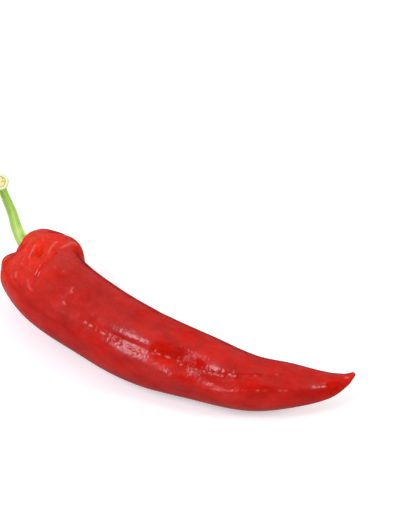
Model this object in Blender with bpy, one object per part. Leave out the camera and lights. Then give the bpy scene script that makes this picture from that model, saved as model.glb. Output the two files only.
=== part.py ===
# A ripe hot wax pepper as picked, lying on its side on a table.
# Two pieces: the red pod, and the green calyx that sits in the hollow of its shoulder
# with the stem grown out of it. Sizes are millimetres until the meshes are written.

import math
from functools import partial

import bmesh
import bpy
import numpy as np
from mathutils import Vector

MM = 0.001

# Middle line of the pod, from the shoulder to the tip. The pod lies along +X, bowed
# towards -Y, and its hooked tip is lifted off the table.
# Each row: place along X, place across Y, height of the middle, radius of the pod there.
POD_STATIONS = (
    (-76.0, 17.0, 17.5, 16.5),
    (-71.5, 12.5, 17.5, 18.5),
    (-57.5, 2.0, 17.5, 18.0),
    (-34.5, -6.0, 16.7, 17.1),
    (-7.5, -12.5, 16.2, 16.6),
    (20.3, -12.0, 14.3, 14.4),
    (43.0, -12.0, 14.6, 12.1),
    (59.0, -5.5, 14.0, 9.6),
    (71.5, 2.0, 13.0, 6.2),
    (77.5, 9.7, 12.0, 3.1),
    (79.9, 14.3, 12.4, 1.2),
)
POD_SIDES = 48

# The shoulder behind the first station: it rolls over to a crown, and the crown
# surrounds the hollow that holds the calyx.
SHOULDER_LENGTH = 7.1
CROWN_RADIUS = 8.5
HOLLOW_DEPTH = 6.0

# Three lobes, one for each chamber of the pod. They are deep at the shoulder and fade
# towards the tip. Angles run round the pod from its +Y side over the top.
LOBES = 3
LOBE_CREST = math.radians(185)
LOBE_DEPTH_SHOULDER = 0.10
LOBE_DEPTH_TIP = 0.012
LOBE_FADE = 41.0
CROWN_WAVE = 0.8
CROWN_WAVE_FADE = 12.0

# Soft swellings (+) and hollows (-) of the skin.
# Each row: distance along the pod, angle round it, half length, half width, height.
SWELLINGS = (
    (4.5, 19, 8.0, 10.0, 3.0),
    (-4.0, 107, 5.0, 5.0, 1.6),
    (-4.0, 147, 5.0, 2.9, -2.4),
    (-4.0, 166, 5.0, 3.0, 0.6),
    (-2.0, 61, 5.0, 4.0, -1.1),
    (13.0, 102, 5.0, 5.0, -0.9),
    (13.5, 84, 3.5, 3.0, 0.5),
    (40.0, 125, 6.0, 3.5, -0.5),
    (78.0, 118, 8.0, 5.0, 0.4),
    (99.0, 124, 11.0, 3.6, -0.9),
    (116.0, 126, 5.0, 4.0, 0.4),
    (82.0, 156, 12.0, 5.0, 0.4),
    (140.0, 146, 14.0, 2.4, 0.4),
    (142.0, 164, 20.0, 3.0, -0.4),
)

# The seam between two chambers shows as a shallow groove along the upper front.
# Each row: distance along the pod, angle round it.
SEAM_COURSE = ((-8.0, 125), (42.0, 132), (60.0, 139), (118.0, 138), (135.0, 124), (175.0, 118))
SEAM_WIDTH = 2.6
SEAM_DEPTH = 0.5

# A fold runs part way round the pod where the shoulder ends.
FOLD_PLACE = 21.0
FOLD_LEAN = 5.0
FOLD_MIDDLE = math.radians(112)
FOLD_REACH = math.radians(34)
FOLD_WIDTH = 2.4
FOLD_DEPTH = 0.5

# How many rings of points shape the hollow, the crown and the tip, and how far apart
# they lie on the body.
HOLLOW_RINGS = 9
CROWN_RINGS = 9
BODY_STEP = 3.2
TIP_RINGS = 3

# Middle line of the stem, from the floor of the hollow to the cut end. It leaves the
# hollow along the pod, turns up behind the shoulder and leans forward again at the end.
STEM_COURSE = (
    (-75.8, 16.6, 17.6),
    (-81.8, 20.0, 18.6),
    (-87.0, 22.4, 20.6),
    (-91.0, 24.2, 23.8),
    (-93.4, 25.3, 27.8),
    (-95.0, 25.8, 33.7),
    (-96.0, 24.7, 39.9),
    (-96.3, 22.7, 46.1),
    (-95.7, 20.1, 52.0),
    (-93.8, 16.4, 58.0),
)
# Each row: distance along the stem as a share of its length, radius.
STEM_RADII = ((0.0, 3.6), (0.15, 3.2), (0.34, 2.75), (0.5, 2.4), (0.67, 2.1), (0.85, 1.95), (1.0, 1.95))
STEM_SIDES = 30
STEM_RIDGES = 5
STEM_RIDGE_DEPTH = 0.05
STEM_STEP = 1.8
STEM_START = 9.0

# The stem ends in a swollen head, cut flat across, with a slightly sunken disc of pith.
HEAD_FLARE = 3.2
HEAD_FLARE_POWER = 4
HEAD_FLARE_RINGS = 6
HEAD_RADIUS = 4.0
HEAD_RIDGE_DEPTH = 0.015
HEAD_RIM = 0.9
HEAD_ROUNDING = 0.5
PITH_RADIUS = 2.15
PITH_SINK = 0.4

# The calyx: a thin saucer on the floor of the hollow, with a toothed rim.
CALYX_RADIUS = 7.0
CALYX_TEETH = 6
CALYX_TOOTH = 0.8
CALYX_GAP = 0.5
CALYX_RIM_THICKNESS = 0.9
CALYX_NECK_THICKNESS = 2.6
CALYX_NECK_RADIUS = 3.6
CALYX_RINGS = 6

RED = (0.55, 0.020, 0.012, 1.0)
GREEN = (0.36, 0.56, 0.13, 1.0)


def clear_scene():
    for old in list(bpy.data.objects):
        bpy.data.objects.remove(old)


def along_lengths(points):
    """Distance of each point from the first, measured along the line."""
    steps = np.linalg.norm(np.diff(points, axis=0), axis=1)
    return np.concatenate([[0.0], np.cumsum(steps)])


def smooth(keys, values, at):
    """Values read at places between the keys, on a cubic through all of them."""
    keys = np.asarray(keys, float)
    values = np.asarray(values, float)
    shape = (-1,) + (1,) * (values.ndim - 1)
    slope = np.empty_like(values)
    slope[1:-1] = (values[2:] - values[:-2]) / (keys[2:] - keys[:-2]).reshape(shape)
    slope[0] = (values[1] - values[0]) / (keys[1] - keys[0])
    slope[-1] = (values[-1] - values[-2]) / (keys[-1] - keys[-2])
    at = np.atleast_1d(np.asarray(at, float))
    left = np.clip(np.searchsorted(keys, at, side="right") - 1, 0, len(keys) - 2)
    width = (keys[left + 1] - keys[left]).reshape(shape)
    t = ((at - keys[left]) / (keys[left + 1] - keys[left])).reshape(shape)
    return (
        (2 * t**3 - 3 * t**2 + 1) * values[left]
        + (t**3 - 2 * t**2 + t) * width * slope[left]
        + (3 * t**2 - 2 * t**3) * values[left + 1]
        + (t**3 - t**2) * width * slope[left + 1]
    )


class MiddleLine:
    """A smooth line in space, with a direction and two cross directions at each place."""

    SAMPLES = 400

    def __init__(self, points, side=None):
        points = np.asarray(points, float)
        lengths = along_lengths(points)
        self.length = lengths[-1]
        self.middle = smooth(lengths, points, np.linspace(0, self.length, self.SAMPLES))
        self.forward = np.gradient(self.middle, axis=0)
        self.forward /= np.linalg.norm(self.forward, axis=1)[:, None]
        if side is None:
            side = np.cross((0.0, 0.0, 1.0), self.forward[0])
        self.side = self.carried(side)
        self.up = np.cross(self.forward, self.side)

    def carried(self, side):
        """The side direction taken along the line without twisting round it."""
        found = []
        for direction in self.forward:
            side = side - direction * np.dot(side, direction)
            side = side / np.linalg.norm(side)
            found.append(side)
        return np.array(found)

    def point(self, place, across, angle):
        """A point at a distance from the line. Beyond either end the line runs on straight."""
        inside = min(max(place, 0.0), self.length)
        step = inside / self.length * (self.SAMPLES - 1)
        low = min(int(step), self.SAMPLES - 2)
        share = step - low
        fields = (self.middle, self.forward, self.side, self.up)
        middle, forward, side, up = [f[low] * (1 - share) + f[low + 1] * share for f in fields]
        outward = side * math.cos(angle) + up * math.sin(angle)
        return middle + forward * (place - inside) + across * outward


def angle_between(a, b):
    return abs((a - b + math.pi) % (2 * math.pi) - math.pi)


def bell(distance, width):
    return math.exp(-((distance / width) ** 2))


POD_LINE = MiddleLine([row[:3] for row in POD_STATIONS])
POD_PLACES = along_lengths(np.array([row[:3] for row in POD_STATIONS]))
POD_RADII = [row[3] for row in POD_STATIONS]


def lobe_depth(place):
    fade = math.exp(-max(place, 0.0) / LOBE_FADE)
    return LOBE_DEPTH_TIP + (LOBE_DEPTH_SHOULDER - LOBE_DEPTH_TIP) * fade


def swellings(place, radius, angle):
    height = 0.0
    for middle, degrees, half_length, half_width, rise in SWELLINGS:
        across = angle_between(angle, math.radians(degrees)) * max(radius, 1.0)
        height += rise * bell(place - middle, half_length) * bell(across, half_width)
    return height


def seam(place, radius, angle):
    places = [row[0] for row in SEAM_COURSE]
    course = smooth(places, [row[1] for row in SEAM_COURSE], min(max(place, places[0]), places[-1]))
    across = angle_between(angle, math.radians(course[0])) * radius
    return -SEAM_DEPTH * bell(across, SEAM_WIDTH)


def fold(place, angle):
    turn = angle - FOLD_MIDDLE
    middle = FOLD_PLACE + FOLD_LEAN * math.sin(turn)
    reach = bell(angle_between(angle, FOLD_MIDDLE), FOLD_REACH)
    return -FOLD_DEPTH * reach * bell(place - middle, FOLD_WIDTH)


def pod_point(place, radius, lean, angle):
    """The skin of the pod. Place and radius are the plain ones, before lobes and relief.

    Lean is how far the plain skin turns from facing outwards, 0, to facing backwards."""
    wave = math.cos(LOBES * (angle - LOBE_CREST))
    fullness = min(1.0, radius / POD_RADII[0])
    crown = -CROWN_WAVE * wave * fullness * math.exp(-max(place, 0.0) / CROWN_WAVE_FADE)
    relief = swellings(place, radius, angle) + seam(place, radius, angle) + fold(place, angle)
    across = radius * (1 + lobe_depth(place) * wave) + relief * fullness * math.cos(lean)
    return POD_LINE.point(place + crown - relief * fullness * math.sin(lean), across, angle)


def hollow_floor(radius):
    """How far behind the first station the floor of the hollow lies, at a radius from its middle."""
    share = min(radius / CROWN_RADIUS, 1.0)
    return SHOULDER_LENGTH - HOLLOW_DEPTH * (0.5 + 0.5 * math.cos(math.pi * share))


def pod_profile():
    """The plain outline of the pod, from the tip to the middle of the hollow, as (place, radius, lean)."""
    outline = []
    blunt = POD_RADII[-1]
    for turn in np.linspace(math.pi / 2, 0, TIP_RINGS + 1)[:-1]:
        outline.append((POD_LINE.length + blunt * math.sin(turn), blunt * math.cos(turn), -turn))
    steps = round(POD_LINE.length / BODY_STEP)
    for place in np.linspace(POD_LINE.length, 0, steps):
        outline.append((place, float(smooth(POD_PLACES, POD_RADII, place)[0]), 0.0))
    roll = POD_RADII[0] - CROWN_RADIUS
    for turn in np.linspace(0, math.pi / 2, CROWN_RINGS)[1:]:
        outline.append((-SHOULDER_LENGTH * math.sin(turn), CROWN_RADIUS + roll * math.cos(turn), turn))
    for share in np.linspace(1, 0, HOLLOW_RINGS)[1:]:
        outline.append((-hollow_floor(share * CROWN_RADIUS), share * CROWN_RADIUS, math.pi / 2))
    return outline


def calyx_edge(angle):
    return CALYX_RADIUS + CALYX_TOOTH * math.cos(CALYX_TEETH * angle)


def calyx_point(share, rise, angle):
    """A point over the floor of the hollow. Share runs from its middle, 0, to the calyx's edge, 1."""
    radius = share * calyx_edge(angle)
    floor = pod_point(-hollow_floor(radius), radius, math.pi / 2, angle)
    return floor - POD_LINE.forward[0] * (CALYX_GAP + rise)


STEM_LINE = MiddleLine(STEM_COURSE, side=POD_LINE.side[0])


def stem_point(place, radius, angle):
    """The skin of the stem. It grows backwards out of the pod, so its angles run the other way."""
    depth = HEAD_RIDGE_DEPTH if place > STEM_LINE.length - HEAD_FLARE / 2 else STEM_RIDGE_DEPTH
    ridge = 1 + depth * math.cos(STEM_RIDGES * angle)
    return STEM_LINE.point(place, radius * ridge, -angle)


def stem_profile():
    """The plain outline of the stem, from the calyx to the middle of the cut, as (place, radius)."""
    shares = [row[0] for row in STEM_RADII]
    radii = [row[1] for row in STEM_RADII]
    flare_start = STEM_LINE.length - HEAD_FLARE
    outline = []
    for place in np.linspace(STEM_START, flare_start, round((flare_start - STEM_START) / STEM_STEP)):
        outline.append((place, float(smooth(shares, radii, place / STEM_LINE.length)[0])))
    neck = radii[-1]
    for turn in np.linspace(0, math.pi / 2, HEAD_FLARE_RINGS)[1:]:
        share = math.sin(turn)
        widening = (HEAD_RADIUS - neck) * share**HEAD_FLARE_POWER
        outline.append((flare_start + HEAD_FLARE * share, neck + widening))
    cut = STEM_LINE.length + HEAD_RIM
    outline.append((cut - HEAD_ROUNDING, HEAD_RADIUS))
    outline.append((cut, HEAD_RADIUS - HEAD_ROUNDING))
    outline.append((cut, PITH_RADIUS + PITH_SINK))
    outline.append((cut - PITH_SINK, PITH_RADIUS))
    outline.append((cut - PITH_SINK, 0.0))
    return outline


def calyx_profile():
    """The calyx from the middle of its underside, out over its rim and back in to the stem's foot.

    Each row: share of the way out to the rim, height over the underside."""
    outline = [(share, 0.0) for share in np.linspace(0, 1, CALYX_RINGS)]
    neck = CALYX_NECK_RADIUS / CALYX_RADIUS
    for inward in np.linspace(0, 1, CALYX_RINGS):
        rise = (CALYX_NECK_THICKNESS - CALYX_RIM_THICKNESS) * inward**2
        outline.append((1 - (1 - neck) * inward, CALYX_RIM_THICKNESS + rise))
    return outline


def shaped_sphere(sides, rings):
    """A closed skin: a sphere whose parallels, from pole to pole, are moved onto the rings."""
    bm = bmesh.new()
    bmesh.ops.create_uvsphere(bm, u_segments=sides, v_segments=len(rings) - 1, radius=1.0)
    for vert in bm.verts:
        from_pole = math.acos(max(-1.0, min(1.0, vert.co.z))) / math.pi
        ring = rings[round(from_pole * (len(rings) - 1))]
        x, y, z = ring(math.atan2(vert.co.y, vert.co.x))
        # the pod's own weight flattens it a little where it lies on the table
        vert.co = Vector((x, y, max(z, 0.0))) * MM
    return bm


def finish(name, bm, colour, roughness):
    mesh = bpy.data.meshes.new(name)
    bm.to_mesh(mesh)
    bm.free()
    mesh.shade_smooth()
    material = bpy.data.materials.new(name)
    material.use_nodes = True
    shader = material.node_tree.nodes["Principled BSDF"]
    shader.inputs["Base Color"].default_value = colour
    shader.inputs["Roughness"].default_value = roughness
    shader.inputs["Metallic"].default_value = 0.0
    mesh.materials.append(material)
    piece = bpy.data.objects.new(name, mesh)
    bpy.context.scene.collection.objects.link(piece)
    return piece


def make_pod():
    rings = [partial(pod_point, *row) for row in pod_profile()]
    return finish("pod", shaped_sphere(POD_SIDES, rings), RED, 0.25)


def make_calyx_and_stem():
    calyx = [partial(calyx_point, *row) for row in calyx_profile()]
    stem = [partial(stem_point, *row) for row in stem_profile()]
    return finish("calyx_and_stem", shaped_sphere(STEM_SIDES, calyx + stem), GREEN, 0.5)


def centre_on_table(pieces):
    """Moves the pieces so that the origin lies on the table under the middle of their box."""
    points = np.array([v.co for piece in pieces for v in piece.data.vertices])
    middle = (points.min(axis=0) + points.max(axis=0)) / 2
    for piece in pieces:
        piece.location = Vector((-middle[0], -middle[1], 0.0))


clear_scene()
centre_on_table([make_pod(), make_calyx_and_stem()])
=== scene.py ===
# A ripe hot wax pepper as picked, lying on its side: the pod's waxy skin with its seam,
# folds and puckers, and the ridged green stem on its calyx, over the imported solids.
# Lengths are millimetres until a mesh is written, and metres from there on.

import math

import bmesh
import bpy
import numpy as np
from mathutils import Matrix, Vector


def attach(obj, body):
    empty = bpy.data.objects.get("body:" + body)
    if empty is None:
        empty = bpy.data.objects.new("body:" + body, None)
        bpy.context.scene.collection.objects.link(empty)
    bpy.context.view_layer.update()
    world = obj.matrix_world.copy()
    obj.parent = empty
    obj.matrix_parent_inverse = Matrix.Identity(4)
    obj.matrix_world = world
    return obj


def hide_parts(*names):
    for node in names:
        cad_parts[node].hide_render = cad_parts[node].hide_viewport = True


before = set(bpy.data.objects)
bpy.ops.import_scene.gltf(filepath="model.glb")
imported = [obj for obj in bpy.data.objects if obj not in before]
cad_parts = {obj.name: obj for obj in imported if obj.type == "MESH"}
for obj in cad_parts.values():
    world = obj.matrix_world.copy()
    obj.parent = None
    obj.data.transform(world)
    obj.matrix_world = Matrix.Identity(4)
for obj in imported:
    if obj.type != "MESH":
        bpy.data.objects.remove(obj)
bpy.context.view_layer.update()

mm = 0.001
# where the middle of the part's box lies among the places below
partMiddle = np.array([-8.6055, 0.0954, 0.0])


# how far along a row of points each of them is
def lengthsAlong(points):
    steps = np.linalg.norm(np.diff(points, axis=0), axis=1)
    return np.concatenate([[0.0], np.cumsum(steps)])


# values between the keys, on a cubic through all of them
def smooth(keys, values, at):
    keys = np.asarray(keys, float)
    values = np.asarray(values, float)
    shape = (-1,) + (1,) * (values.ndim - 1)
    slope = np.empty_like(values)
    slope[1:-1] = (values[2:] - values[:-2]) / (keys[2:] - keys[:-2]).reshape(shape)
    slope[0] = (values[1] - values[0]) / (keys[1] - keys[0])
    slope[-1] = (values[-1] - values[-2]) / (keys[-1] - keys[-2])
    at = np.clip(np.atleast_1d(np.asarray(at, float)), keys[0], keys[-1])
    left = np.clip(np.searchsorted(keys, at, side="right") - 1, 0, len(keys) - 2)
    width = (keys[left + 1] - keys[left]).reshape(shape)
    t = ((at - keys[left]) / (keys[left + 1] - keys[left])).reshape(shape)
    return (
        (2 * t**3 - 3 * t**2 + 1) * values[left]
        + (t**3 - 2 * t**2 + t) * width * slope[left]
        + (3 * t**2 - 2 * t**3) * values[left + 1]
        + (t**3 - t**2) * width * slope[left + 1]
    )


def bell(distance, width):
    return np.exp(-((distance / width) ** 2))


# how far a lies from b round the pod, with its sign
def turnFrom(a, b):
    return (a - b + math.pi) % (2 * math.pi) - math.pi


# a smooth line in space, with a direction and two cross directions all along it
def makeLine(points, side=None, samples=400):
    points = np.asarray(points, float)
    lengths = lengthsAlong(points)
    middle = smooth(lengths, points, np.linspace(0, lengths[-1], samples))
    forward = np.gradient(middle, axis=0)
    forward /= np.linalg.norm(forward, axis=1)[:, None]
    if side is None:
        side = np.cross((0.0, 0.0, 1.0), forward[0])
    sides = []
    for direction in forward:
        side = side - direction * np.dot(side, direction)
        side = side / np.linalg.norm(side)
        sides.append(side)
    sides = np.array(sides)
    return {
        "length": lengths[-1],
        "fields": np.hstack([middle, forward, sides, np.cross(forward, sides)]),
    }


# points at a distance across from the line; beyond either end the line runs on straight
def pointsRound(line, place, across, angle):
    inside = np.clip(place, 0.0, line["length"])
    step = inside / line["length"] * (len(line["fields"]) - 1)
    low = np.minimum(step.astype(int), len(line["fields"]) - 2)
    share = (step - low)[:, None]
    mixed = line["fields"][low] * (1 - share) + line["fields"][low + 1] * share
    middle, forward, side, up = np.split(mixed, 4, axis=1)
    outward = side * np.cos(angle)[:, None] + up * np.sin(angle)[:, None]
    return middle + forward * (place - inside)[:, None] + across[:, None] * outward


# a sphere made ready to be moved onto rings: each point's ring, from pole to pole, and angle
def ringedSphere(name, sides, ringCount):
    bm = bmesh.new()
    bmesh.ops.create_uvsphere(bm, u_segments=sides, v_segments=ringCount - 1, radius=1.0)
    mesh = bpy.data.meshes.new(name)
    bm.to_mesh(mesh)
    bm.free()
    unit = np.empty(len(mesh.vertices) * 3)
    mesh.vertices.foreach_get("co", unit)
    x, y, z = unit.reshape(-1, 3).T
    ring = np.rint(np.arccos(np.clip(z, -1, 1)) / math.pi * (ringCount - 1)).astype(int)
    return mesh, ring, np.arctan2(y, x)


def placePoints(mesh, points):
    points = (points - partMiddle) * mm
    mesh.vertices.foreach_set("co", points.astype(np.float32).ravel())
    mesh.update()
    mesh.shade_smooth()


def addAttribute(mesh, name, kind, values):
    field = {"FLOAT_VECTOR": "vector", "FLOAT": "value"}[kind]
    attribute = mesh.attributes.new(name, kind, "POINT")
    attribute.data.foreach_set(field, values.astype(np.float32).ravel())


def addPiece(mesh, materials):
    for material in materials:
        mesh.materials.append(material)
    piece = bpy.data.objects.new(mesh.name, mesh)
    bpy.context.scene.collection.objects.link(piece)
    return piece


# an sRGB hex colour, turned to linear
def linearColour(text):
    parts = [int(text[i:i + 2], 16) / 255 for i in (1, 3, 5)]
    return [p / 12.92 if p <= 0.04045 else ((p + 0.055) / 1.055) ** 2.4 for p in parts] + [1.0]


# one node with its settings, and its inputs given as values or as sockets to link
def addNode(tree, kind, inputs=None, **settings):
    node = tree.nodes.new(kind)
    for name, value in settings.items():
        setattr(node, name, value)
    for socket, value in (inputs or {}).items():
        if isinstance(value, bpy.types.NodeSocket):
            tree.links.new(value, node.inputs[socket])
        else:
            node.inputs[socket].default_value = value
    return node


def newMaterial(name):
    material = bpy.data.materials.new(name)
    material.use_nodes = True
    return material, material.node_tree, material.node_tree.nodes["Principled BSDF"]


# the camera: its turn and height in degrees, and lengths in millimetres
view = {
    "azimuth": 26.0,
    "elevation": 38.0,
    "distance": 750.0,
    "target": (-20.0, 70.0, 0.0),
    "millimetresPerPixel": 0.48,
    "picture": (400, 525),
    "sensor": 36.0,
    "nearest": 10.0,
}


def makeCamera():
    a, e = math.radians(view["azimuth"]), math.radians(view["elevation"])
    back = Vector((math.sin(a) * math.cos(e), -math.cos(a) * math.cos(e), math.sin(e)))
    target = Vector((np.array(view["target"]) - partMiddle) * mm)
    camera = bpy.data.cameras.new("camera")
    camera.sensor_width = view["sensor"]
    pixelsPerLens = view["distance"] / view["millimetresPerPixel"]
    camera.lens = pixelsPerLens * view["sensor"] / max(view["picture"])
    camera.clip_start = view["nearest"] * mm
    holder = bpy.data.objects.new("camera", camera)
    holder.location = target + back * view["distance"] * mm
    holder.rotation_euler = back.to_track_quat("Z", "Y").to_euler()
    bpy.context.scene.collection.objects.link(holder)
    bpy.context.scene.camera = holder


# the floor, the tent and the softboxes: metres and degrees
studio = {
    "floorRadius": 0.60,
    "floorSides": 96,
    "floorColour": "#E6E6E6",
    # the card is overexposed: the picture takes it brighter than the skin mirrors it
    "floorGlow": 0.40,
    # what the skin mirrors of the floor: bright near the pod, dark beyond it
    "mirroredFloorColour": "#9C9C9C",
    "mirroredFarColour": "#303030",
    "mirroredNear": (-0.03, -0.10, 0.0),
    "mirroredReach": (0.13, 0.18),
    # a white tent, brighter towards its top, its left and its back: a direction and a strength
    "tentTop": 0.80,
    "tentFoot": 0.14,
    "tentCurve": 2.0,
    "brightSides": (((-0.85, -0.53, 0.0), 0.95), ((0.1, 0.99, 0.0), 0.6)),
    "brightLow": 0.3,
    # a dark opening for the camera: how far from its middle the edge starts and ends
    "openingGlow": 0.05,
    "openingDirection": (0.345, -0.708, 0.616),
    "openingEdge": (30.0, 15.0),
    "backgroundGlow": 1.3,
    # each softbox: turn to the left of the front, elevation, distance, width, height,
    # power in watts, colour
    "softboxes": {
        "key": (27.0, 45.0, 1.3, 0.48, 0.58, 10.0, "#F3F0FF"),
        "side": (-98.0, 27.0, 1.3, 0.34, 0.34, 9.0, "#FFFFFF"),
    },
}


def makeStudio():
    bm = bmesh.new()
    bmesh.ops.create_circle(
        bm, cap_ends=True, segments=studio["floorSides"], radius=studio["floorRadius"],
    )
    mesh = bpy.data.meshes.new("floor")
    bm.to_mesh(mesh)
    bm.free()
    material, tree, shader = newMaterial("matteWhiteCard")
    path = addNode(tree, "ShaderNodeLightPath")
    place = addNode(tree, "ShaderNodeTexCoord")
    away = addNode(tree, "ShaderNodeVectorMath", {
        0: place.outputs["Object"], 1: studio["mirroredNear"],
    }, operation="DISTANCE")
    begin, end = studio["mirroredReach"]
    far = addNode(tree, "ShaderNodeMapRange", {0: away.outputs["Value"], 1: begin, 2: end})
    mirrored = addNode(tree, "ShaderNodeMix", {
        0: far.outputs[0],
        6: linearColour(studio["mirroredFloorColour"]),
        7: linearColour(studio["mirroredFarColour"]),
    }, data_type="RGBA")
    card = addNode(tree, "ShaderNodeMix", {
        0: path.outputs["Is Glossy Ray"],
        6: linearColour(studio["floorColour"]),
        7: mirrored.outputs[2],
    }, data_type="RGBA")
    glow = addNode(tree, "ShaderNodeMath", {
        0: path.outputs["Is Camera Ray"], 1: studio["floorGlow"],
    }, operation="MULTIPLY")
    tree.links.new(card.outputs[2], shader.inputs["Base Color"])
    tree.links.new(glow.outputs[0], shader.inputs["Emission Strength"])
    shader.inputs["Emission Color"].default_value = (1, 1, 1, 1)
    shader.inputs["Roughness"].default_value = 1.0
    shader.inputs["Specular IOR Level"].default_value = 0.0
    addPiece(mesh, [material])

    for name, settings in studio["softboxes"].items():
        azimuth, elevation, distance, width, height, power, colour = settings
        light = bpy.data.lights.new(name, "AREA")
        light.shape = "RECTANGLE"
        light.size = width
        light.size_y = height
        light.energy = power
        light.color = linearColour(colour)[:3]
        holder = bpy.data.objects.new(name, light)
        a, e = math.radians(azimuth), math.radians(elevation)
        direction = Vector((-math.sin(a) * math.cos(e), -math.cos(a) * math.cos(e), math.sin(e)))
        holder.location = direction * distance
        holder.rotation_euler = direction.to_track_quat("Z", "Y").to_euler()
        bpy.context.scene.collection.objects.link(holder)

    world = bpy.data.worlds.new("tent")
    world.use_nodes = True
    bpy.context.scene.world = world
    tree = world.node_tree
    way = addNode(tree, "ShaderNodeTexCoord").outputs["Generated"]
    split = addNode(tree, "ShaderNodeSeparateXYZ", {0: way})
    above = addNode(tree, "ShaderNodeMath", {0: split.outputs["Z"], 1: 0.0}, operation="MAXIMUM")
    curved = addNode(tree, "ShaderNodeMath", {
        0: above.outputs[0], 1: studio["tentCurve"],
    }, operation="POWER")
    cloth = addNode(tree, "ShaderNodeMapRange", {
        0: curved.outputs[0], 3: studio["tentFoot"], 4: studio["tentTop"],
    })
    # the bright sides reach up from low down and fade towards the top
    height = addNode(tree, "ShaderNodeMath", {
        0: above.outputs[0], 1: studio["brightLow"],
    }, operation="ADD")
    below = addNode(tree, "ShaderNodeMath", {0: 1.0, 1: above.outputs[0]}, operation="SUBTRACT")
    band = addNode(tree, "ShaderNodeMath", {
        0: height.outputs[0], 1: below.outputs[0],
    }, operation="MULTIPLY")
    for direction, strength in studio["brightSides"]:
        sideward = addNode(tree, "ShaderNodeVectorMath", {
            0: way, 1: direction,
        }, operation="DOT_PRODUCT")
        share = addNode(tree, "ShaderNodeMapRange", {0: sideward.outputs["Value"], 4: strength})
        cloth = addNode(tree, "ShaderNodeMath", {
            0: share.outputs[0], 1: band.outputs[0], 2: cloth.outputs[0],
        }, operation="MULTIPLY_ADD")
    ahead = addNode(tree, "ShaderNodeVectorMath", {
        0: way, 1: Vector(studio["openingDirection"]).normalized(),
    }, operation="DOT_PRODUCT")
    outer, inner = [math.cos(math.radians(edge)) for edge in studio["openingEdge"]]
    opening = addNode(tree, "ShaderNodeMapRange", {
        0: ahead.outputs["Value"], 1: outer, 2: inner,
    }, interpolation_type="SMOOTHSTEP")
    tent = addNode(tree, "ShaderNodeMix", {
        0: opening.outputs[0], 2: cloth.outputs[0], 3: studio["openingGlow"],
    })
    # the camera sees plain white beyond the floor's edge
    path = addNode(tree, "ShaderNodeLightPath")
    glow = addNode(tree, "ShaderNodeMix", {
        0: path.outputs["Is Camera Ray"], 2: tent.outputs[0], 3: studio["backgroundGlow"],
    })
    tree.links.new(glow.outputs[0], tree.nodes["Background"].inputs["Strength"])
    tree.nodes["Background"].inputs["Color"].default_value = (1, 1, 1, 1)
    bpy.context.scene.view_settings.view_transform = "Standard"


makeCamera()
makeStudio()
print("camera, floor and lights are in place")


# the pod, formed as in the solid, on rings that lie closer together
pod = {
    "sides": 250,
    # middle line from the shoulder to the tip: place along, place across, height, radius
    "stations": (
        (-76.0, 17.0, 17.5, 16.5),
        (-71.5, 12.5, 17.5, 18.5),
        (-57.5, 2.0, 17.5, 18.0),
        (-34.5, -6.0, 16.7, 17.1),
        (-7.5, -12.5, 16.2, 16.6),
        (20.3, -12.0, 14.3, 14.4),
        (43.0, -12.0, 14.6, 12.1),
        (59.0, -5.5, 14.0, 9.6),
        (71.5, 2.0, 13.0, 6.2),
        (77.5, 9.7, 12.0, 3.1),
        (79.9, 14.3, 12.4, 1.2),
    ),
    # the shoulder rolls over to a crown round the hollow that holds the calyx
    "shoulderLength": 7.1,
    "crownRadius": 8.5,
    "hollowDepth": 6.0,
    # three lobes, deep at the shoulder, fading towards the tip
    "lobes": 3,
    "lobeCrest": 185,
    "lobeDepthShoulder": 0.10,
    "lobeDepthTip": 0.012,
    "lobeFade": 41.0,
    "crownWave": 0.8,
    "crownWaveFade": 12.0,
    # soft swellings and hollows: place, angle (degrees), half length, half width, height
    "swellings": (
        (4.5, 19, 8.0, 10.0, 3.0),
        (-4.0, 107, 5.0, 5.0, 1.6),
        (-4.0, 147, 5.0, 2.9, -2.4),
        (-4.0, 166, 5.0, 3.0, 0.6),
        (-2.0, 61, 5.0, 4.0, -1.1),
        (13.0, 102, 5.0, 5.0, -0.9),
        (13.5, 84, 3.5, 3.0, 0.5),
        (40.0, 125, 6.0, 3.5, -0.5),
        (78.0, 118, 8.0, 5.0, 0.4),
        (99.0, 124, 11.0, 3.6, -0.9),
        (116.0, 126, 5.0, 4.0, 0.4),
        (82.0, 156, 12.0, 5.0, 0.4),
        (140.0, 146, 14.0, 2.4, 0.4),
        (142.0, 164, 20.0, 3.0, -0.4),
    ),
    # the seam between two chambers: place, angle
    "seamCourse": ((-8.0, 125), (42.0, 132), (60.0, 139), (118.0, 138), (135.0, 124), (175.0, 118)),
    "seamWidth": 2.6,
    "seamDepth": 0.5,
    # the fold where the shoulder ends
    "foldPlace": 21.0,
    "foldLean": 5.0,
    "foldMiddle": 112,
    "foldReach": 34,
    "foldWidth": 2.4,
    "foldDepth": 0.5,
    # how closely the rings lie along the body: from, to, step
    "ringSteps": ((172.0, 124.0, 0.72), (124.0, 52.0, 0.46), (52.0, 28.0, 0.75), (28.0, 0.0, 0.44)),
    "tipRings": 10,
    "rollRings": 30,
    "hollowRings": 20,
    # the columns of points lie closer together on the side with the seam
    "columnsCloseAt": 128,
    "columnsCloser": 0.36,
    # the warmer, paler flesh of the shoulder: how far it reaches, how much farther at one side,
    # which side and how wide, and how softly it ends; then the same towards the tip
    "warmTo": 14,
    "warmFarther": 11,
    "warmSide": 102,
    "warmSideWidth": 38,
    "warmFade": 5,
    "warmTipFrom": 164,
    "warmTipFade": 4,
    "warmTip": 0.2,
}

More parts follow.
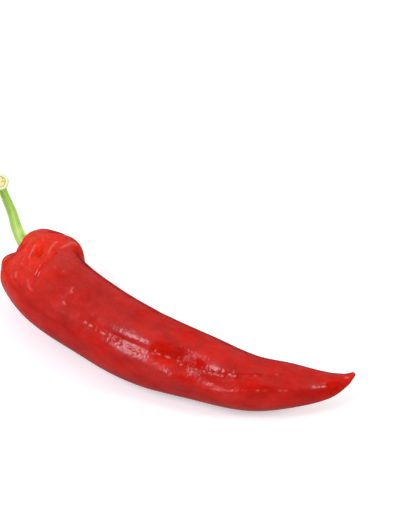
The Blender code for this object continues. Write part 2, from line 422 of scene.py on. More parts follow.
# what the solid leaves out: more swellings and hollows, in rows like pod["swellings"]
swellings = (
    # the bank and the hollows below the seam
    (99.0, 167, 9.0, 3.2, 1.15),
    (101.0, 147, 6.0, 2.6, -0.50),
    (96.5, 156, 5.0, 3.4, 0.55),
    (114.0, 153, 8.0, 2.5, -0.85),
    (128.0, 149, 7.0, 2.2, -0.40),
    (116.0, 171, 7.0, 2.4, 0.3),
    # the seam's steep upper bank
    (75.0, 134, 9.0, 1.6, -0.35),
    # the dent that ends the bright bank, and dents above the seam
    (97.0, 133, 8.0, 5.5, -0.75),
    (90.0, 125, 3.5, 4.5, -0.35),
    (85.5, 119, 4.5, 3.0, 0.45),
    (108.5, 124, 2.4, 3.2, -0.5),
    # the hollow on the shoulder, and the mound beside it
    (12.0, 101, 3.2, 3.4, -1.5),
    (24.5, 80, 4.0, 4.0, 0.4),
    # towards the tip
    (152.5, 142, 3.0, 1.8, 0.10),
)

# creases and ridges of the skin: a course of (place, angle), half width, height. They are
# worked out as far to the side as the margin, in half widths
creaseMargin = 4
creases = (
    # the crease of the collar, with the ridge along it
    (
        (
            (11, 60), (14.2, 68.5), (17.5, 80), (19.8, 95),
            (21.0, 110), (21.9, 125), (23.6, 140), (26, 150),
        ),
        0.65, -0.70,
    ),
    (((15.0, 80), (17.2, 90), (18.4, 100), (19.0, 108), (19.4, 114)), 0.8, 0.55),
    (((20.4, 105), (21.8, 124), (23.3, 140), (24.8, 147)), 0.5, -0.45),
    # short ridges on the shoulder
    (((11.8, 73), (13.6, 79), (15.2, 85), (17, 93)), 0.7, 0.65),
    (((6.0, 98), (8.2, 104), (10.0, 112), (12.0, 119), (14.0, 125)), 0.8, 0.70),
    (((17.5, 74), (14.5, 62), (10.8, 50), (10.0, 40), (11.5, 31), (14.0, 24)), 1.0, 0.60),
    (((13.6, 146), (14.9, 150), (16.5, 153)), 0.9, 0.45),
    (((20.5, 139), (22.2, 144), (23.2, 149)), 0.9, 0.45),
    (((39.6, 106), (40.0, 110), (40.4, 115)), 0.6, 0.30),
    # the lower edge of the seam's bank
    (
        ((108, 172), (116, 169), (122, 164), (130, 153), (140, 150), (150, 146), (158, 141)),
        1.0, 0.38,
    ),
    # the seam's own line
    (
        (
            (84, 137), (90, 135), (95, 135), (99, 139), (106, 140),
            (112, 138), (117, 134), (122, 128), (130, 118),
        ),
        0.5, -0.18,
    ),
    # short folds across the flank
    (((128.6, 127), (128.9, 121), (129.6, 115)), 0.5, -0.36),
    (((131.6, 126), (131.4, 120), (131.9, 114)), 0.5, -0.42),
    (((135.2, 124), (134.8, 119), (135.4, 112)), 0.5, -0.40),
    (((139.0, 123), (138.6, 117), (139.0, 112)), 0.5, -0.32),
    # scratches
    (((80.5, 155), (83, 157.5), (86, 160)), 0.4, -0.16),
    (((80.0, 158), (83, 160), (85, 161.5)), 0.4, -0.12),
)

# small pits in rows along the seam and below it: place, angle, half length, half width, depth
pits = (
    (41.4, 134, 1.5, 0.8, 0.30),
    (56.0, 141, 0.8, 0.7, 0.32),
    (59.0, 140.5, 1.2, 0.6, 0.36),
    (66.0, 141, 1.3, 0.6, 0.34),
    (71.2, 141, 0.8, 0.6, 0.36),
    (73.4, 143, 0.7, 0.6, 0.30),
    (77.5, 142, 0.8, 0.5, 0.34),
    (79.3, 143, 0.7, 0.6, 0.30),
    (81.2, 142, 0.8, 0.5, 0.34),
    (86.4, 137, 0.9, 0.5, 0.42),
    (89.0, 135, 1.1, 0.5, 0.45),
    (93.0, 134.5, 1.5, 0.6, 0.42),
    (97.2, 135, 0.7, 0.5, 0.36),
    (99.2, 139.5, 0.8, 0.6, 0.40),
    (105.0, 140.5, 1.1, 0.4, 0.38),
    (107.2, 139.5, 0.8, 0.5, 0.42),
    (109.3, 139, 0.7, 0.5, 0.40),
    (111.3, 138, 0.9, 0.5, 0.40),
    (114.0, 136.5, 0.7, 0.4, 0.34),
    (116.4, 134.5, 0.8, 0.5, 0.36),
    (118.2, 134, 0.6, 0.5, 0.32),
    (121.8, 128.5, 0.9, 0.5, 0.28),
    (130.2, 118.5, 0.9, 0.5, 0.14),
    (138.0, 110.5, 0.9, 0.5, 0.12),
    (131.5, 149.5, 0.7, 0.5, 0.10),
    (134.0, 149, 0.9, 0.5, 0.06),
    (139.4, 148, 0.8, 0.5, 0.12),
    (141.8, 148.5, 1.1, 0.5, 0.08),
    (146.0, 146.5, 0.8, 0.5, 0.08),
)

# a low lip stands round each pit: height for its depth, distance and width for its size
pitLip = {"height": 0.2, "distance": 1.8, "width": 0.6}

# the skin's own unevenness: soft lumps all over, and smaller ones on the shoulder
lumps = {
    "count": 260, "seed": 5, "places": (-6, 180), "halfWidth": (2.0, 6.0), "height": 0.13,
}
shoulderLumps = {
    "count": 70, "seed": 9, "places": (-4, 32), "halfWidth": (1.0, 2.2), "height": 0.15,
}
lumpStretch = (1.0, 2.2)

# puckers across the seam: where they run, how far apart, how far they reach, how high, and
# how their spacing wanders and leans (size, turns along the pod, start)
puckers = {
    "start": 64.0,
    "end": 124.0,
    "spacing": 1.2,
    "reach": 4.0,
    "height": 0.03,
    "margin": 8,
    "fade": 2,
    "wander": ((1.3, 0.83, 0.0), (1.1, 0.31, 1.0)),
    "lean": (0.5, 0.57),
}

# tucks: folds across the seam where the skin steps up and then falls slowly to the next one
tucks = {
    "places": (
        86.5, 89.5, 93.0, 96.5, 99.2, 102.0, 105.2, 107.6, 110.2, 112.6, 115.2, 118.0, 121.8, 127.0,
    ),
    "steep": 0.22,
    "fadeIn": 2,
    "fadeOut": 6,
    "angles": ((86.5, 131), (97.0, 134), (106.0, 137), (115.0, 133), (127.0, 123)),
    "reach": 1.5,
    "height": 0.36,
}

# painted highlights, drawn as thin pale scars on the highest ridges and at the tip: course of
# (place, angle), half width, strength. They are worked out as far to the side as the margin, in
# millimetres
ridgeHighlightMargin = 3
paintedRidgeHighlights = (
    (((12.2, 74), (13.6, 79), (15.2, 85), (16.6, 91)), 0.5, 0.22),
    (((8.0, 103), (10.0, 112), (12.0, 119)), 0.5, 0.22),
    (((13.9, 147), (15.3, 151)), 0.6, 0.20),
    (((21.0, 141), (22.6, 146)), 0.6, 0.12),
    (((16.5, 72), (14.2, 60), (11.2, 50), (10.6, 42)), 0.7, 0.20),
    (((39.7, 107), (40.0, 110), (40.3, 114)), 0.5, 0.2),
    (((168.0, 112), (169.6, 118)), 0.4, 0.3),
)
# a painted glint, drawn as a pale fleck, sits in each pit, fainter in a shallow one: its length and
# width, and how far back it sits, as shares of the pit's own
pitGlints = {
    "length": 0.62,
    "width": 0.8,
    "back": 0.5,
    "strength": (0.15, 0.75),
    "fullDepth": 0.3,
    "seed": 3,
}
# small pale specks scattered over the shoulder, and a few beyond it
specks = {
    "count": 150, "seed": 11, "start": -4, "reach": 34.0, "thinning": 0.5,
    "halfWidth": (0.3, 0.6), "stretch": (1.0, 1.8), "strength": (0.02, 0.12),
}

# where the wax on the skin is thinner (below 0) or thicker: place, angle, half length,
# half width, amount
waxPatches = (
    (12.0, 101, 3.4, 3.6, -0.9),
    (16.5, 72, 3.0, 3.0, -0.3),
    (20.0, 50, 8.0, 4.0, -0.4),
    (90.0, 132, 4.0, 4.2, -0.8),
    (98.0, 138, 6.0, 3.6, -0.75),
    (109.0, 131, 3.4, 3.4, -0.8),
    (72.0, 134, 3.0, 1.6, -0.7),
    (62.0, 136, 6.0, 2.0, -0.4),
    (118.0, 140, 6.0, 2.4, -0.4),
    (102.0, 117, 4.0, 4.0, -0.45),
    (104.0, 136, 3.0, 2.6, -0.5),
    (107.0, 123, 2.6, 2.6, -0.45),
    (133.0, 158, 8.0, 2.0, -0.3),
    (147.0, 162, 8.0, 2.0, -0.25),
    (159.5, 144, 4.5, 2.8, -1.2),
    (167.0, 138, 5.0, 2.6, -0.5),
    (152.5, 143, 3.0, 1.8, 0.7),
    (33.0, 103, 4.0, 3.0, -0.35),
    (26.0, 82, 6.0, 5.6, 0.4),
    (92.0, 158, 7.0, 3.6, 0.7),
    (79.0, 156, 7.0, 3.0, 0.5),
    (78.0, 146, 8.0, 3.0, 0.45),
    (74.0, 119, 9.0, 3.6, 0.75),
    (112.5, 120, 4.5, 4.0, 0.3),
    (118.0, 164, 8.0, 2.0, 0.5),
    (171.0, 104, 5.0, 4.0, 0.2),
    (-4.0, 92, 5.0, 8.0, 0.9),
    (90.0, 64, 52.0, 7.0, -0.42),
)
# where the skin is mixed towards a darker red, on the top, the lower flank and the tip's third, in
# the same rows
darkerRedPatches = (
    (26.0, 85, 8.0, 5.0, 0.32),
    (56.0, 93, 14.0, 5.5, 0.34),
    (28.0, 165, 3.2, 2.4, 0.4),
    (20.5, 158, 2.4, 2.0, 0.25),
    (36.0, 168, 4.0, 2.2, 0.3),
    (46.0, 150, 5.0, 2.2, 0.25),
    (128.0, 128, 12.0, 7.0, 0.12),
    (158.0, 115, 14.0, 8.0, 0.22),
)
# where the skin is finely wrinkled, in the same rows
wrinkledPatches = (
    (77.0, 146, 9.0, 3.6, 0.32),
    (75.0, 121, 9.0, 2.6, 0.35),
    (95.0, 159, 8.0, 3.5, 0.25),
    (111.0, 120, 6.0, 4.0, 0.4),
    (125.0, 156, 14.0, 2.4, 0.5),
    (59.0, 139, 8.0, 2.4, 0.3),
    (134.0, 119, 7.0, 3.0, 0.5),
    (14.0, 100, 9.0, 14.0, 0.45),
)

podLine = makeLine([row[:3] for row in pod["stations"]])
podPlaces = lengthsAlong(np.array([row[:3] for row in pod["stations"]]))
podRadii = [row[3] for row in pod["stations"]]


# which of the places lie between a course's ends, or within a margin beyond them
def placesNear(place, course, margin):
    low, high = course[:, 0].min() - margin, course[:, 0].max() + margin
    return np.flatnonzero((place > low) & (place < high))


# distance of skin points from a course of (place, angle), and how far along it they are, 0 to 1
def nearCourse(place, radius, angle, course, dotCount=60, millimetresPerDegree=0.3):
    steps = np.linspace(0, 1, dotCount)
    keys = lengthsAlong(course * (1.0, millimetresPerDegree))
    dots = smooth(keys / keys[-1], course, steps)
    nearest = np.full(len(place), 1e9)
    share = np.zeros(len(place))
    for step, (dotPlace, dotAngle) in zip(steps, dots):
        away = np.hypot(place - dotPlace, turnFrom(angle, math.radians(dotAngle)) * radius)
        closer = away < nearest
        nearest[closer] = away[closer]
        share[closer] = step
    return nearest, share


def seamAngle(place):
    places, angles = zip(*pod["seamCourse"])
    return np.radians(smooth(places, angles, place))


# how far skin points lie to the side of the tucks
def fromTucks(place, radius, angle):
    places, angles = zip(*tucks["angles"])
    return turnFrom(angle, np.radians(smooth(places, angles, place))) * radius


# from 0.5 at the top of each tuck down to -0.5 at the foot of the next, and 0 beyond them all
def tuckWave(place):
    places = np.asarray(tucks["places"])
    index = np.clip(np.searchsorted(places, place, side="right") - 1, 0, len(places) - 2)
    share = (place - places[index]) / (places[index + 1] - places[index])
    wave = np.interp(share, (0.0, tucks["steep"], 1.0), (-0.5, 0.5, -0.5))
    begin = np.clip((place - places[0]) / tucks["fadeIn"] + 1, 0, 1)
    end = np.clip((places[-1] - place) / tucks["fadeOut"], 0, 1)
    return wave * (begin * end)


# adds a soft swelling to the heights, only where it reaches
def addSwelling(height, place, radius, angle, middle, degrees, halfLength, halfWidth, rise):
    near = np.flatnonzero(np.abs(place - middle) < 3 * halfLength)
    across = turnFrom(angle[near], math.radians(degrees)) * np.maximum(radius[near], 1.0)
    height[near] += rise * bell(place[near] - middle, halfLength) * bell(across, halfWidth)


def podRelief(place, radius, angle):
    height = np.zeros(len(place))
    for swelling in pod["swellings"] + swellings:
        addSwelling(height, place, radius, angle, *swelling)

    fromSeam = turnFrom(angle, seamAngle(place)) * radius
    height -= pod["seamDepth"] * bell(fromSeam, pod["seamWidth"])

    foldMiddle = math.radians(pod["foldMiddle"])
    foldAt = pod["foldPlace"] + pod["foldLean"] * np.sin(angle - foldMiddle)
    reach = bell(turnFrom(angle, foldMiddle), math.radians(pod["foldReach"]))
    height -= pod["foldDepth"] * reach * bell(place - foldAt, pod["foldWidth"])

    for course, halfWidth, rise in creases:
        course = np.asarray(course, float)
        near = placesNear(place, course, creaseMargin * halfWidth)
        away, share = nearCourse(place[near], radius[near], angle[near], course)
        height[near] += rise * np.sin(math.pi * share) ** 0.5 * bell(away, halfWidth)

    for middle, degrees, halfLength, halfWidth, depth in pits:
        near = np.flatnonzero(np.abs(place - middle) < 4 * halfLength)
        across = turnFrom(angle[near], math.radians(degrees)) * radius[near]
        away = np.hypot((place[near] - middle) / halfLength, across / halfWidth)
        lip = pitLip["height"] * bell(away - pitLip["distance"], pitLip["width"])
        height[near] += depth * (lip - bell(away, 1.0))

    start, end, margin = puckers["start"], puckers["end"], puckers["margin"]
    near = np.flatnonzero((place > start - margin) & (place < end + margin))
    along, off = place[near], fromSeam[near]
    begun = 1 / (1 + np.exp((start - along) / puckers["fade"]))
    inside = begun / (1 + np.exp((along - end) / puckers["fade"]))
    wander = sum(size * np.sin(along * turns + first) for size, turns, first in puckers["wander"])
    leanSize, leanTurns = puckers["lean"]
    lean = leanSize * np.sin(along * leanTurns) * off
    ripple = np.sin(2 * math.pi * along / puckers["spacing"] + wander + lean)
    height[near] += puckers["height"] * inside * bell(off, puckers["reach"]) * ripple

    across = fromTucks(along, radius[near], angle[near])
    height[near] += tucks["height"] * tuckWave(along) * bell(across, tucks["reach"])

    for kind in (lumps, shoulderLumps):
        rng = np.random.default_rng(kind["seed"])
        for _ in range(kind["count"]):
            middle = rng.uniform(*kind["places"])
            degrees = rng.uniform(0, 360)
            halfWidth = rng.uniform(*kind["halfWidth"])
            halfLength = halfWidth * rng.uniform(*lumpStretch)
            rise = kind["height"] * rng.uniform(-1, 1)
            addSwelling(height, place, radius, angle, middle, degrees, halfLength, halfWidth, rise)
    return height


# the skin from its plain place, radius and lean: 0 faces outwards, a quarter turn backwards
def podPoints(place, radius, lean, angle):
    wave = np.cos(pod["lobes"] * (angle - math.radians(pod["lobeCrest"])))
    fullness = np.minimum(1.0, radius / podRadii[0])
    crownFade = np.exp(-np.maximum(place, 0.0) / pod["crownWaveFade"])
    crown = -pod["crownWave"] * wave * fullness * crownFade
    lobeFade = np.exp(-np.maximum(place, 0.0) / pod["lobeFade"])
    lobe = pod["lobeDepthTip"] + (pod["lobeDepthShoulder"] - pod["lobeDepthTip"]) * lobeFade
    relief = podRelief(place, radius, angle) * fullness
    across = radius * (1 + lobe * wave) + relief * np.cos(lean)
    return pointsRound(podLine, place + crown - relief * np.sin(lean), across, angle)


# how far behind the first station the floor of the hollow lies
def hollowFloor(radius):
    share = np.minimum(radius / pod["crownRadius"], 1.0)
    return pod["shoulderLength"] - pod["hollowDepth"] * (0.5 + 0.5 * np.cos(math.pi * share))


# the plain outline from the tip to the middle of the hollow, as (place, radius, lean)
def podOutline():
    rows = []
    for turn in np.linspace(math.pi / 2, 0, pod["tipRings"])[:-1]:
        place = podLine["length"] + podRadii[-1] * math.sin(turn)
        rows.append((place, podRadii[-1] * math.cos(turn), -turn))
    for start, end, step in pod["ringSteps"]:
        start = min(start, podLine["length"])
        for place in np.linspace(start, end, round((start - end) / step), endpoint=False):
            rows.append((place, float(smooth(podPlaces, podRadii, place)[0]), 0.0))
    roll = podRadii[0] - pod["crownRadius"]
    for turn in np.linspace(0, math.pi / 2, pod["rollRings"]):
        place = -pod["shoulderLength"] * math.sin(turn)
        rows.append((place, pod["crownRadius"] + roll * math.cos(turn), turn))
    for share in np.linspace(1, 0, pod["hollowRings"])[1:]:
        radius = share * pod["crownRadius"]
        rows.append((-float(hollowFloor(radius)), radius, math.pi / 2))
    return np.array(rows)


# its own weight flattens the pod where it lies, with a soft edge
def restOnTable(points, softness=0.35):
    z = points[:, 2]
    lifted = 0.5 * (z + np.sqrt(z * z + softness**2))
    points[:, 2] = lifted - softness**2 / (4 * softness + 4 * np.abs(z))
    return points


# the waxy skin of a ripe pepper
skin = {
    "deep": "#AD120A",
    "bright": "#D31B0D",
    "warm": "#F22C12",
    "streak": "#8E0E08",
    "darkerRed": "#7E0D08",
    # a pale pink: painted highlights on the ridges and the tip, painted glints in the pits, and
    # pale specks
    "highlightAndSpeckPink": "#F0A898",
    # each pattern: turns in a millimetre, along the pod and two ways across; detail; roughness
    "patterns": {
        # blotches of ripeness about 8 mm across, longer along the pod
        "blotches": ((0.075, 0.13, 0.13), 4.0, 0.62),
        # streaks 1.5 mm apart, running along the pod
        "streaks": ((0.05, 0.65, 0.65), 2.0, 0.6),
        # mottles 3 mm across
        "mottles": ((0.34, 0.34, 0.34), 3.0, 0.65),
        # patches of thin and thick wax, 6 mm across
        "patches": ((0.16, 0.16, 0.16), 3.0, 0.6),
        # soft dimples 3 mm across
        "dimples": ((0.33, 0.33, 0.33), 2.0, 0.5),
        # the grain of the cuticle, drawn coarser than it is, at 0.8 mm, so that it shows
        "grain": ((1.25, 1.25, 1.25), 1.0, 0.5),
        # fine wrinkles across the pod, 1 mm apart
        "wrinkles": ((0.9, 0.4, 0.4), 2.0, 0.5),
    },
    # what the patterns do: which one, where it begins and ends, and the least and the most
    "effects": {
        "brightness": ("blotches", 0.35, 0.68, 0.0, 1.0),
        "streaking": ("streaks", 0.3, 0.7, 0.0, 0.22),
        "mottling": ("mottles", 0.42, 0.66, 0.0, 1.0),
        "waxing": ("patches", 0.3, 0.7, -0.45, 0.45),
        # smoother in the deep blotches than in the bright ones
        "roughness": ("blotches", 0.3, 0.7, 0.15, 0.26),
    },
    # how strong the mottles are on the body and on the shoulder
    "mottleStrength": (0.28, 0.45),
    # how much duller thick wax is
    "bloom": 0.14,
    # bumps: pattern, strength, depth in metres; the wrinkles' strength is painted on the skin
    "bumps": (("dimples", 0.35, 0.0006), ("grain", 0.25, 0.00012)),
    "wrinkleDepth": 0.0007,
    "ior": 1.36,
    "glow": {"Weight": 0.12, "Radius": (1.0, 0.15, 0.08), "Scale": 0.003},
}


def makeSkinMaterial():
    # a clear glossy cuticle over deep red flesh, paler and warmer at the shoulder, with
    # faint lengthwise streaks
    material, tree, shader = newMaterial("ripePepperSkin")
    skinPlace = addNode(tree, "ShaderNodeAttribute", attribute_name="skinPlace").outputs["Vector"]
    warmth, darkerRed, highlightsAndSpecks, wax, wrinkled = [
        addNode(tree, "ShaderNodeAttribute", attribute_name=name).outputs["Fac"]
        for name in ("warmth", "darkerRed", "highlightsAndSpecks", "wax", "wrinkled")
    ]
    patterns = {}
    for name, (turns, detail, roughness) in skin["patterns"].items():
        scaled = addNode(tree, "ShaderNodeVectorMath", {
            0: skinPlace, 1: turns,
        }, operation="MULTIPLY")
        patterns[name] = addNode(tree, "ShaderNodeTexNoise", {
            "Vector": scaled.outputs[0], "Scale": 1.0, "Detail": detail, "Roughness": roughness,
        }).outputs["Fac"]
    effects = {}
    for name, (pattern, begin, end, least, most) in skin["effects"].items():
        effects[name] = addNode(tree, "ShaderNodeMapRange", {
            0: patterns[pattern], 1: begin, 2: end, 3: least, 4: most,
        }).outputs[0]

    # each colour is laid over the ones before it, by its own share
    onBody, onShoulder = skin["mottleStrength"]
    mottles = addNode(tree, "ShaderNodeMapRange", {0: warmth, 3: onBody, 4: onShoulder})
    mottled = addNode(tree, "ShaderNodeMath", {
        0: effects["mottling"], 1: mottles.outputs[0],
    }, operation="MULTIPLY")
    layers = (
        (effects["brightness"], "bright"),
        (warmth, "warm"),
        (mottled.outputs[0], "deep"),
        (effects["streaking"], "streak"),
        (darkerRed, "darkerRed"),
        # the painted highlights and glints, and the pale specks
        (highlightsAndSpecks, "highlightAndSpeckPink"),
    )
    colour = linearColour(skin["deep"])
    for share, name in layers:
        colour = addNode(tree, "ShaderNodeMix", {
            0: share, 6: colour, 7: linearColour(skin[name]),
        }, data_type="RGBA").outputs[2]
    tree.links.new(colour, shader.inputs["Base Color"])

    # the wax is thinner in the dents, and thicker and duller in patches
    coat = addNode(tree, "ShaderNodeMath", {0: wax, 1: effects["waxing"]}, operation="ADD")
    level = addNode(tree, "ShaderNodeMapRange", {0: coat.outputs[0], 1: -1.0, 2: 1.0})
    bloom = addNode(tree, "ShaderNodeMapRange", {0: wax, 4: skin["bloom"]})
    duller = addNode(tree, "ShaderNodeMath", {
        0: effects["roughness"], 1: bloom.outputs[0],
    }, operation="ADD")
    tree.links.new(level.outputs[0], shader.inputs["Specular IOR Level"])
    tree.links.new(duller.outputs[0], shader.inputs["Roughness"])

    below = {}
    for name, strength, depth in (*skin["bumps"], ("wrinkles", wrinkled, skin["wrinkleDepth"])):
        bump = addNode(tree, "ShaderNodeBump", {
            "Height": patterns[name], "Strength": strength, "Distance": depth, **below,
        })
        below = {"Normal": bump.outputs[0]}
    tree.links.new(bump.outputs[0], shader.inputs["Normal"])
    shader.inputs["IOR"].default_value = skin["ior"]
    for name, value in skin["glow"].items():
        shader.inputs["Subsurface " + name].default_value = value
    return material


# how pale each point is made by the painted highlights on the ridges, the painted glints in the
# pits and the specks
def paintHighlightsAndSpecks(place, radius, angle):
    highlightsAndSpecks = np.zeros(len(place))
    for course, halfWidth, strength in paintedRidgeHighlights:
        course = np.asarray(course, float)
        near = placesNear(place, course, ridgeHighlightMargin)
        away, _ = nearCourse(place[near], radius[near], angle[near], course)
        highlightsAndSpecks[near] += strength * bell(away, halfWidth)
    rng = np.random.default_rng(pitGlints["seed"])
    for middle, degrees, halfLength, halfWidth, depth in pits:
        strength = rng.uniform(*pitGlints["strength"]) * min(depth / pitGlints["fullDepth"], 1.0)
        addSwelling(
            highlightsAndSpecks, place, radius, angle, middle - pitGlints["back"] * halfLength, degrees,
            pitGlints["length"] * halfLength, pitGlints["width"] * halfWidth, strength,
        )
    rng = np.random.default_rng(specks["seed"])
    for _ in range(specks["count"]):
        middle = specks["start"] + specks["reach"] * rng.exponential(specks["thinning"])
        halfWidth = rng.uniform(*specks["halfWidth"])
        halfLength = halfWidth * rng.uniform(*specks["stretch"])
        degrees = rng.uniform(0, 360)
        addSwelling(
            highlightsAndSpecks, place, radius, angle, middle, degrees,
            halfLength, halfWidth, rng.uniform(*specks["strength"]),
        )
    return highlightsAndSpecks


def makePod():
    outline = podOutline()
    mesh, ring, angle = ringedSphere("podSkin", pod["sides"], len(outline))
    place, radius, lean = outline[ring].T
    angle -= pod["columnsCloser"] * np.sin(angle - math.radians(pod["columnsCloseAt"]))
    placePoints(mesh, restOnTable(podPoints(place, radius, lean, angle)))
    straight = np.stack([place, radius * np.cos(angle), radius * np.sin(angle)], axis=1)
    addAttribute(mesh, "skinPlace", "FLOAT_VECTOR", straight)
    side = bell(turnFrom(angle, math.radians(pod["warmSide"])), math.radians(pod["warmSideWidth"]))
    warmTo = pod["warmTo"] + pod["warmFarther"] * side
    warmth = 1 / (1 + np.exp((place - warmTo) / pod["warmFade"]))
    warmth += pod["warmTip"] / (1 + np.exp((pod["warmTipFrom"] - place) / pod["warmTipFade"]))
    addAttribute(mesh, "warmth", "FLOAT", warmth)
    patched = {"wax": waxPatches, "wrinkled": wrinkledPatches, "darkerRed": darkerRedPatches}
    for name, patches in patched.items():
        amount = np.zeros(len(place))
        for patch in patches:
            addSwelling(amount, place, radius, angle, *patch)
        addAttribute(mesh, name, "FLOAT", amount)
    addAttribute(mesh, "highlightsAndSpecks", "FLOAT", paintHighlightsAndSpecks(place, radius, angle))
    piece = addPiece(mesh, [makeSkinMaterial()])
    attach(piece, "root")
    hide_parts("pod")


makePod()
print("the pod is made")


# the stem, formed as in the solid, but with ridges that turn slowly round it
stem = {
    "sides": 120,
    "step": 0.35,
    "start": 9.0,
    # middle line from the floor of the hollow to the cut end
    "course": (
        (-75.8, 16.6, 17.6),
        (-81.8, 20.0, 18.6),
        (-87.0, 22.4, 20.6),
        (-91.0, 24.2, 23.8),
        (-93.4, 25.3, 27.8),
        (-95.0, 25.8, 33.7),
        (-96.0, 24.7, 39.9),
        (-96.3, 22.7, 46.1),
        (-95.7, 20.1, 52.0),
        (-93.8, 16.4, 58.0),
    ),
    # share of the length, radius
    "radii": (
        (0.0, 3.6), (0.15, 3.2), (0.34, 2.75), (0.5, 2.4), (0.67, 2.1), (0.85, 1.95), (1.0, 1.95),
    ),
    "ridges": 5,
    "ridgeDepth": 0.05,
    "ridgeTurn": (-0.92, -0.42),
    # how much greener it is in the grooves, and how much darker green just below the head, as
    # painted shade
    "grooveGreen": 0.45,
    "shadeBelowHead": 0.35,
    "neckBack": 5.0,
    "neckReach": 4.0,
    # the swollen head, cut flat, with a sunken disc of pith
    "headFlare": 3.2,
    "headFlarePower": 4,
    "headRadius": 4.0,
    "headRidgeDepth": 0.015,
    "headRim": 0.9,
    "headRounding": 0.5,
    "pithRadius": 2.15,
    "pithSink": 0.4,
    # rings of points on the flare, the rounding, the wood and the pith
    "headRings": 16,
    "rimRings": 6,
    "woodRings": 6,
    "pithRings": 9,
    # so that the first ring of the rounding counts as cut
    "cutSlack": 0.01,
}

# the calyx, formed as in the solid, on the floor of the hollow
calyx = {
    "rings": 36,
    "radius": 7.0,
    "teeth": 6,
    "tooth": 0.8,
    "gap": 0.5,
    "rimThickness": 0.9,
    "neckThickness": 2.6,
    "neckRadius": 3.6,
    # as green all over as a shallow groove of the stem
    "green": 0.3,
}

stemLine = makeLine(stem["course"], side=podLine["fields"][0, 6:9])


# the calyx over the floor of the hollow, from the share of the way out to its edge and the
# height over its underside
def calyxPoints(share, rise, angle):
    radius = share * (calyx["radius"] + calyx["tooth"] * np.cos(calyx["teeth"] * angle))
    floor = podPoints(-hollowFloor(radius), radius, np.full(len(radius), math.pi / 2), angle)
    return floor - podLine["fields"][0, 3:6] * (calyx["gap"] + rise)[:, None]


# from 1 on the stem's ridges to -1 in its grooves, which turn slowly round it
def ridgeWave(place, angle):
    foot, top = stem["ridgeTurn"]
    turned = angle + foot + (top - foot) * place / stemLine["length"]
    return np.cos(stem["ridges"] * turned)


def stemPoints(place, radius, angle):
    # the ridges fade over the first half of the head's flare
    flareStart = stemLine["length"] - stem["headFlare"]
    onHead = np.clip(2 * (place - flareStart) / stem["headFlare"], 0, 1)
    depth = stem["ridgeDepth"] + (stem["headRidgeDepth"] - stem["ridgeDepth"]) * onHead
    ridge = 1 + depth * ridgeWave(place, angle)
    return pointsRound(stemLine, place, radius * ridge, -angle)


def calyxOutline():
    rows = [(share, 0.0) for share in np.linspace(0, 1, calyx["rings"])]
    neck = calyx["neckRadius"] / calyx["radius"]
    for inward in np.linspace(0, 1, calyx["rings"]):
        rise = (calyx["neckThickness"] - calyx["rimThickness"]) * inward**2
        rows.append((1 - (1 - neck) * inward, calyx["rimThickness"] + rise))
    return np.array(rows)


def stemOutline():
    shares, radii = zip(*stem["radii"])
    flareStart = stemLine["length"] - stem["headFlare"]
    rows = []
    for place in np.arange(stem["start"], flareStart, stem["step"]):
        rows.append((place, float(smooth(shares, radii, place / stemLine["length"])[0])))
    for turn in np.linspace(0, math.pi / 2, stem["headRings"]):
        share = math.sin(turn)
        widening = (stem["headRadius"] - radii[-1]) * share ** stem["headFlarePower"]
        rows.append((flareStart + stem["headFlare"] * share, radii[-1] + widening))
    cut = stemLine["length"] + stem["headRim"]
    rounding = stem["headRounding"]
    woodFrom = stem["headRadius"] - rounding
    for turn in np.linspace(0, math.pi / 2, stem["rimRings"]):
        place = cut - rounding + rounding * math.sin(turn)
        rows.append((place, woodFrom + rounding * math.cos(turn)))
    woodTo = stem["pithRadius"] + stem["pithSink"]
    for radius in np.linspace(woodFrom, woodTo, stem["woodRings"])[1:]:
        rows.append((cut, radius))
    for radius in np.linspace(stem["pithRadius"], 0, stem["pithRings"]):
        rows.append((cut - stem["pithSink"], radius))
    return np.array(rows)


# the fresh green rind of a pepper stem
rind = {
    "dark": "#A2E052",
    "light": "#CFF584",
    "pale": "#E4FAA8",
    # the grooves' green, which also paints the shade just below the head
    "grooveGreenAndShade": "#7FC234",
    # turns in a millimetre: fibres 0.7 mm apart along the stem, pale blotches of 6 mm
    "fibres": (0.12, 1.5, 1.5),
    "blotches": 0.16,
    # where the fibres' lighter green and the blotches' pale begin and end, and the most of it
    "lighter": (0.3, 0.7, 1.0),
    "paler": (0.4, 0.7, 0.5),
    # strength, and depth in metres
    "fibreBump": (0.5, 0.0003),
    "roughness": 0.48,
    "glow": {"Weight": 0.35, "Radius": (0.7, 1.0, 0.3), "Scale": 0.003},
}


